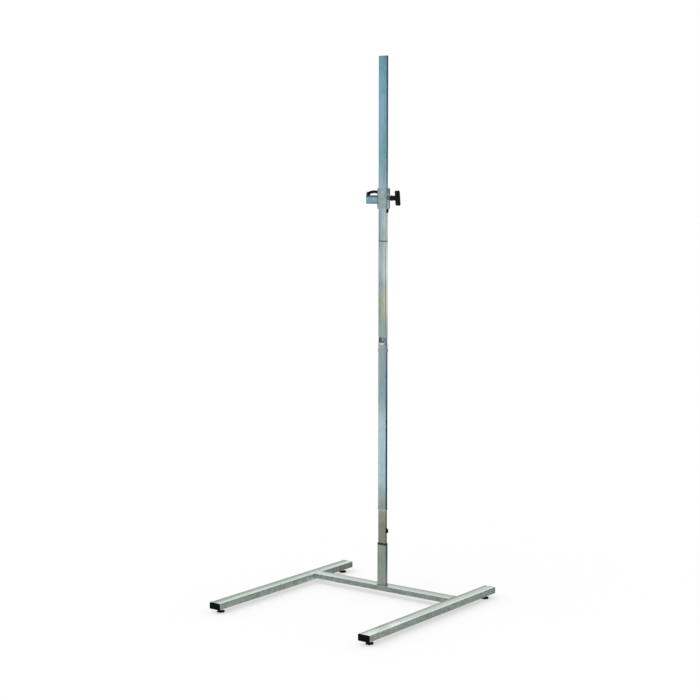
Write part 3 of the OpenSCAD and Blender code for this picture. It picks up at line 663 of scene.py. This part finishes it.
# Middle mast tube: plated like the lower one, with a yellow-green cast low down that turns blue-grey above.
# Another spigot, riveted in its top, carries the top tube on a plain butt joint.
middle_tints = ((0.0, (0.46, 0.62, 0.575)), (0.14, (0.48, 0.605, 0.475)), (0.25, (0.545, 0.63, 0.465)),
                (0.40, (0.58, 0.665, 0.54)), (0.53, (0.53, 0.645, 0.62)), (0.72, (0.67, 0.80, 0.83)),
                (0.85, (0.645, 0.755, 0.78)), (1.0, (0.55, 0.68, 0.66)))
# Painted light and tint: the ramps across the middle tube are partly the plating's tint, partly a painted
# highlight before its right corner, painted shade on that corner and a lighter right side.
middle_cast = ((0.0, (1.00, 0.86, 1.14)), (0.14, (1.00, 0.88, 1.12)), (0.35, (0.95, 0.92, 1.00)),
               (0.62, (0.96, 0.98, 0.92)), (0.82, (1.06, 1.06, 0.94)), (0.91, (0.70, 0.70, 0.74)),
               (1.0, (1.10, 1.00, 1.50)))
pale_cast = ((0.0, (0.82, 0.77, 0.86)), (0.14, (0.79, 0.75, 0.83)), (0.35, (0.86, 0.88, 0.90)),
             (0.62, (0.98, 1.00, 0.98)), (0.78, (1.27, 1.19, 1.14)), (0.86, (1.12, 1.04, 0.97)),
             (0.93, (0.76, 0.70, 0.70)), (1.0, (1.25, 1.10, 1.04)))
middle_high = (0.12, 0.28, pale_cast)
middle_seam = middle_top - 0.0022
dress(plated_tube("zinc_middle_tube", (middle_foot, middle_top), middle_tints, mast_gloss, wander=0.10,
                  seam=middle_seam, cast=middle_cast, high_cast=middle_high), "middle_tube")
dress(plated_tube("zinc_top_spigot", foot_and_top("top_spigot"), spigot_shade_tints, dark_gloss), "top_spigot")


# Top mast tube: the slider's track, its plating deepening to blue towards the top.
# A flush moulded plug closes its end.
top_tints = ((0.0, (0.54, 0.67, 0.65)), (0.10, (0.55, 0.73, 0.745)), (0.25, (0.51, 0.69, 0.74)),
             (0.36, (0.37, 0.59, 0.675)), (0.46, (0.29, 0.545, 0.63)), (0.72, (0.32, 0.575, 0.71)),
             (0.88, (0.278, 0.53, 0.66)), (1.0, (0.24, 0.475, 0.56)))
# Painted light and tint: the ramps across the top tube are partly the plating's tint, partly painted shade
# along its left edge and a painted highlight before its right corner.
top_cast = ((0.0, (0.64, 0.61, 0.62)), (0.16, (0.68, 0.66, 0.68)), (0.40, (0.90, 0.93, 0.95)),
            (0.62, (0.99, 1.01, 1.02)), (0.78, (1.22, 1.11, 1.08)), (0.90, (1.00, 0.90, 0.87)),
            (1.0, (1.10, 1.00, 0.98)))
deep_cast = ((0.0, (1.00, 0.84, 0.82)), (0.12, (1.02, 0.86, 0.84)), (0.24, (1.20, 1.05, 1.04)),
             (0.42, (1.00, 1.01, 1.03)), (0.62, (0.94, 1.00, 1.03)), (0.80, (0.84, 0.87, 0.86)),
             (0.92, (1.08, 1.00, 0.97)), (1.0, (0.82, 0.92, 1.00)))
top_high = (0.12, 0.28, deep_cast)
top_seam = middle_top - 0.0012
dress(plated_tube("zinc_top_tube", foot_and_top("top_tube"), top_tints, mast_gloss, wander=0.07,
                  seam=top_seam, cast=top_cast, high_cast=top_high), "top_tube")
dress(black_moulding("grey_plug", (0.05, 0.05, 0.05), 0.5), "top_plug")


# Slider: a sleeve of larger tube that slides on the mast, with a short flat arm welded to its left side.
# Both have a frosty spangled zinc, bluer on the arm, with painted shade along their edges.
# The bead that joins them is dark.
def spangled(node, tints, gloss, edges):
    """Frosted zinc: soft-edged patches of crystal a few millimetres across, each a shade of its own, over
    slow tint clouds. Further ramps along the given axes of the node's box are painted shade along its edges."""
    finish, tree, shader = bare_finish("zinc_" + node, 1.0)
    low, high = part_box(node)
    crystals = place(tree, "ShaderNodeTexVoronoi", feature="SMOOTH_F1")
    for socket, value in (("Scale", 1.0), ("Smoothness", 0.30), ("Detail", 1.0), ("Roughness", 0.4)):
        crystals.inputs[socket].default_value = value
    tree.links.new(stretched(tree, 170.0), crystals.inputs["Vector"])
    apart = place(tree, "ShaderNodeSeparateColor")
    tree.links.new(crystals.outputs["Color"], apart.inputs["Color"])
    patch = apart.outputs["Red"]
    frost = ((0.0, (0.68, 0.69, 0.69)), (1.0, (1.06, 1.06, 1.06)))
    colour = tinted(tree, clouds(tree, 28.0, 3.0, 0.6), tints)
    colour = toned(tree, colour, tinted(tree, patch, frost), 0.9)
    for axis, stops in edges:
        spot = spread(tree, coordinate(tree, axis), (low[axis], high[axis]))
        colour = toned(tree, colour, shaded(tree, spot, stops))
    painted(tree, shader, colour)
    glossed(tree, shader, patch, gloss, (0.0, 1.0))
    raised(tree, shader, clouds(tree, 700.0, 3.0, 0.6), 0.00006, 0.25)
    return finish


sleeve_tints = ((0.32, (0.40, 0.51, 0.53)), (0.50, (0.43, 0.55, 0.56)), (0.68, (0.48, 0.57, 0.55)))
# Painted shade: these ramps darken the sleeve's left and right edges and the rear of its sides.
sleeve_side_shade = ((0.0, 0.35), (0.10, 0.60), (0.17, 1.0), (0.78, 1.0), (0.90, 0.75), (0.98, 0.75), (1.0, 1.0))
sleeve_rear_shade = ((0.0, 1.0), (0.58, 1.0), (0.70, 0.30), (0.985, 0.30), (1.0, 1.0))
sleeve_edge_shade = ((side_to_side, sleeve_side_shade), (front_to_back, sleeve_rear_shade))
dress(spangled("slider_sleeve", sleeve_tints, (0.10, 0.20), sleeve_edge_shade), "slider_sleeve")
arm_tints = ((0.32, (0.29, 0.48, 0.57)), (0.55, (0.32, 0.53, 0.65)), (0.70, (0.37, 0.53, 0.57)))
up_and_down = 2
# Painted shade: darker along the arm's top and bottom edges.
arm_edge_shade = ((0.0, 0.35), (0.10, 0.45), (0.20, 1.0), (0.72, 1.0), (0.84, 0.35), (1.0, 0.18))
dress(spangled("slider_arm", arm_tints, (0.18, 0.30), ((up_and_down, arm_edge_shade),)), "slider_arm")

rightward = np.array([1.0, 0.0, 0.0])
backward = np.array([0.0, 1.0, 0.0])
arm_leg = 0.002
arm_pool = 0.0018
arm_points = 300
arm_low, arm_high = corners("slider_arm")
arm_size = arm_high - arm_low
spots, facing = around_tube(arm_size[1], arm_size[2], tube_corner, arm_points)
arm_root = (arm_low + arm_high) / 2 + rightward * arm_size[0] / 2
arm_path = arm_root - spots[:, :1] * backward + spots[:, 1:] * upward
arm_out = -facing[:, :1] * backward + facing[:, 1:] * upward
arm_rings = bead(arm_path, arm_out, -rightward, arm_leg, arm_pool, tapered=False)
arm_bead = skin("arm_bead", arm_rings, looped=True)
arm_bead.data.materials.append(weld_finish("slider_weld", (0.12, 0.16, 0.165)))
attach(arm_bead, "slider")
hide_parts("arm_weld")


# Cam lever: a curved black lever on a pin between two ears on the arm's end. Its round cam bears down through
# a window on whatever bar is pushed into the arm. The ears are black coated steel, and a clip holds the pin.
def coated_steel(name):
    """Black coat on steel: satin, with a faint orange peel and a few dull rubs."""
    finish, tree, shader = bare_finish(name, 0.0)
    peel = clouds(tree, 420.0, 2.0)
    painted(tree, shader, tinted(tree, peel, ((0.4, (0.004, 0.004, 0.005)), (0.8, (0.016, 0.017, 0.018)))))
    glossed(tree, shader, peel, (0.36, 0.48))
    shader.inputs["Specular IOR Level"].default_value = 0.22
    raised(tree, shader, peel, 0.00008, 0.3)
    return finish


dress(coated_steel("black_ears"), "lever_bracket", "pin_clip")
dress(plated_fastener("plated_pin", (0.14, 0.15, 0.15)), "lever_pin")
dress(black_moulding("black_lever", (0.003, 0.003, 0.0032), 0.42), "cam_lever")


# Clamp screw: a threaded stud through a nut welded on the sleeve's right side, turned by a black T-handle.
# It presses a black pad against the mast, and the pad's thin tail shows under the sleeve.
screw_low, screw_high = corners("clamp_stud")
screw_length = screw_high[0] - screw_low[0]
screw_start = (screw_low + screw_high) / 2 - rightward * screw_length / 2
marks = ((0.0, stud_tip, 0.0), (tip_length, stud_radius, 0.0), (tip_length + thread_start, stud_radius, 1.0),
         (screw_length - tip_length, stud_radius, 1.0), (screw_length, stud_radius, 0.0))
clamp_rod = skin("clamp_thread", threaded_rod(screw_start, rightward, marks), looped=False)
clamp_rod.data.materials.append(plated_fastener("plated_screw", (0.40, 0.43, 0.44)))
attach(clamp_rod, "clamp_screw")
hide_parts("clamp_stud")
dress(plated_fastener("dull_nut", (0.34, 0.40, 0.42)), "clamp_nut")
dress(black_moulding("black_handle", (0.0025, 0.0026, 0.0030), 0.40), "clamp_handle")
dress(black_moulding("black_pad", (0.004, 0.004, 0.004), 0.5), "pressure_pad")


# Floor: plain matt white board, wide enough to meet the white surroundings.
# To the camera and in mirrors it glows a little, so that it shows near white but keeps the shadow.
def board(name, outline, shade):
    """A flat matt sheet between four corners, kept out of the object."""
    mesh = bpy.data.meshes.new(name)
    mesh.from_pydata(outline, [], [(0, 1, 2, 3)])
    paint = bpy.data.materials.new(name + "_paint")
    paint.use_nodes = True
    matt = paint.node_tree.nodes["Principled BSDF"]
    matt.inputs["Base Color"].default_value = (*shade, 1.0)
    matt.inputs["Roughness"].default_value = 1.0
    matt.inputs["Specular IOR Level"].default_value = 0.0
    mesh.materials.append(paint)
    made = bpy.data.objects.new(name, mesh)
    bpy.context.scene.collection.objects.link(made)
    return made


def shown_rays(tree):
    """1 for rays that show a surface: straight to the camera, mirrored in metal or seen through glass."""
    path = place(tree, "ShaderNodeLightPath")
    seen = reckoned(tree, "MAXIMUM", path.outputs["Is Camera Ray"], path.outputs["Is Glossy Ray"])
    return reckoned(tree, "MAXIMUM", seen, path.outputs["Is Transmission Ray"])


def white_light(tree, kind, strength):
    """An even white glow."""
    made = place(tree, kind)
    made.inputs["Color"].default_value = (*full, 1.0)
    made.inputs["Strength"].default_value = strength
    return made.outputs[0]


def either(tree, share, first, second):
    """The first of two shaders, or the second by a share."""
    made = place(tree, "ShaderNodeMixShader")
    tree.links.new(share, made.inputs["Fac"])
    tree.links.new(first, made.inputs[1])
    tree.links.new(second, made.inputs[2])
    return made.outputs[0]


reach = 60
glow_share = 0.55
floor_outline = ((-reach, -reach, 0), (reach, -reach, 0), (reach, reach, 0), (-reach, reach, 0))
floor = board("floor", floor_outline, (0.94, 0.94, 0.94))
paint = floor.data.materials[0].node_tree
glow = white_light(paint, "ShaderNodeEmission", 1.0)
share = reckoned(paint, "MULTIPLY", shown_rays(paint), glow_share)
whitened = either(paint, share, paint.nodes["Principled BSDF"].outputs["BSDF"], glow)
paint.links.new(whitened, paint.nodes["Material Output"].inputs["Surface"])


# Cards: boards stood round the set, out of the picture, to give bright metal something to mirror.
# They show only in reflections and cast no shadow.
def mirrored_only(made):
    """Hides a board from all but reflections."""
    made.visible_camera = False
    made.visible_diffuse = False
    made.visible_shadow = False


def card(name, from_bearing, to_bearing, low, high, shade):
    """An upright board between two compass bearings round the mast, facing it."""
    turns = [math.radians(bearing) for bearing in (from_bearing, to_bearing)]
    start, end = [(card_away * math.cos(turn), mast_depth + card_away * math.sin(turn)) for turn in turns]
    mirrored_only(board(name, ((*start, low), (*end, low), (*end, high), (*start, high)), shade))


card_away = 3.4
mast_depth = corners("top_tube")[:, 1].mean()
card_top = 4.4
dark_card = (0.12, 0.125, 0.13)
card("front_card", 196, 264, 0.0, card_top, (0.80, 0.80, 0.80))
card("left_card", 150, 196, 0.0, card_top, (0.42, 0.43, 0.44))
card("right_high_card", 18, 92, 1.85, card_top, dark_card)
card("right_low_card", 18, 92, 0.0, 0.96, (0.03, 0.032, 0.034))
card("camera_card", 292, 350, 0.0, card_top, dark_card)
card_lift = 0.002
low_outline = ((0.10, 0.45, card_lift), (0.42, 0.62, card_lift),
               (2.80, 2.30, card_lift), (0.60, 3.55, card_lift))
mirrored_only(board("right_floor_card", low_outline, (0.05, 0.053, 0.056)))


# Light: even white surroundings, a little less bright on the object than they look.
# One broad soft lamp stands above, front left.
world = bpy.data.worlds.new("studio")
world.use_nodes = True
bpy.context.scene.world = world
sky = world.node_tree
sky.nodes.clear()
lit_sky = white_light(sky, "ShaderNodeBackground", 0.80)
seen_sky = white_light(sky, "ShaderNodeBackground", 1.0)
surroundings = either(sky, shown_rays(sky), lit_sky, seen_sky)
sky.links.new(surroundings, place(sky, "ShaderNodeOutputWorld").inputs["Surface"])

soft = bpy.data.lights.new("soft_lamp", "SUN")
soft.energy = 1.0
soft.angle = math.radians(70)
lamp = bpy.data.objects.new("soft_lamp", soft)
lamp.rotation_euler = (math.radians(28), math.radians(-22), 0.0)
lamp.visible_glossy = False
bpy.context.scene.collection.objects.link(lamp)


# Camera: in front and to the right of the stand, a little above the slider.
# It looks slightly down through a long lens, as the picture of the stand was taken.
lens = bpy.data.cameras.new("camera")
lens.sensor_width = 36.0
lens.lens = 82.353
look_down = 6.256
look_left = 36.857
camera = bpy.data.objects.new("camera", lens)
camera.location = (4.330523, -5.814848, 1.984063)
camera.rotation_euler = (math.radians(90.0 - look_down), 0.0, math.radians(look_left))
bpy.context.scene.collection.objects.link(camera)
bpy.context.scene.camera = camera
bpy.context.scene.view_settings.view_transform = "Standard"
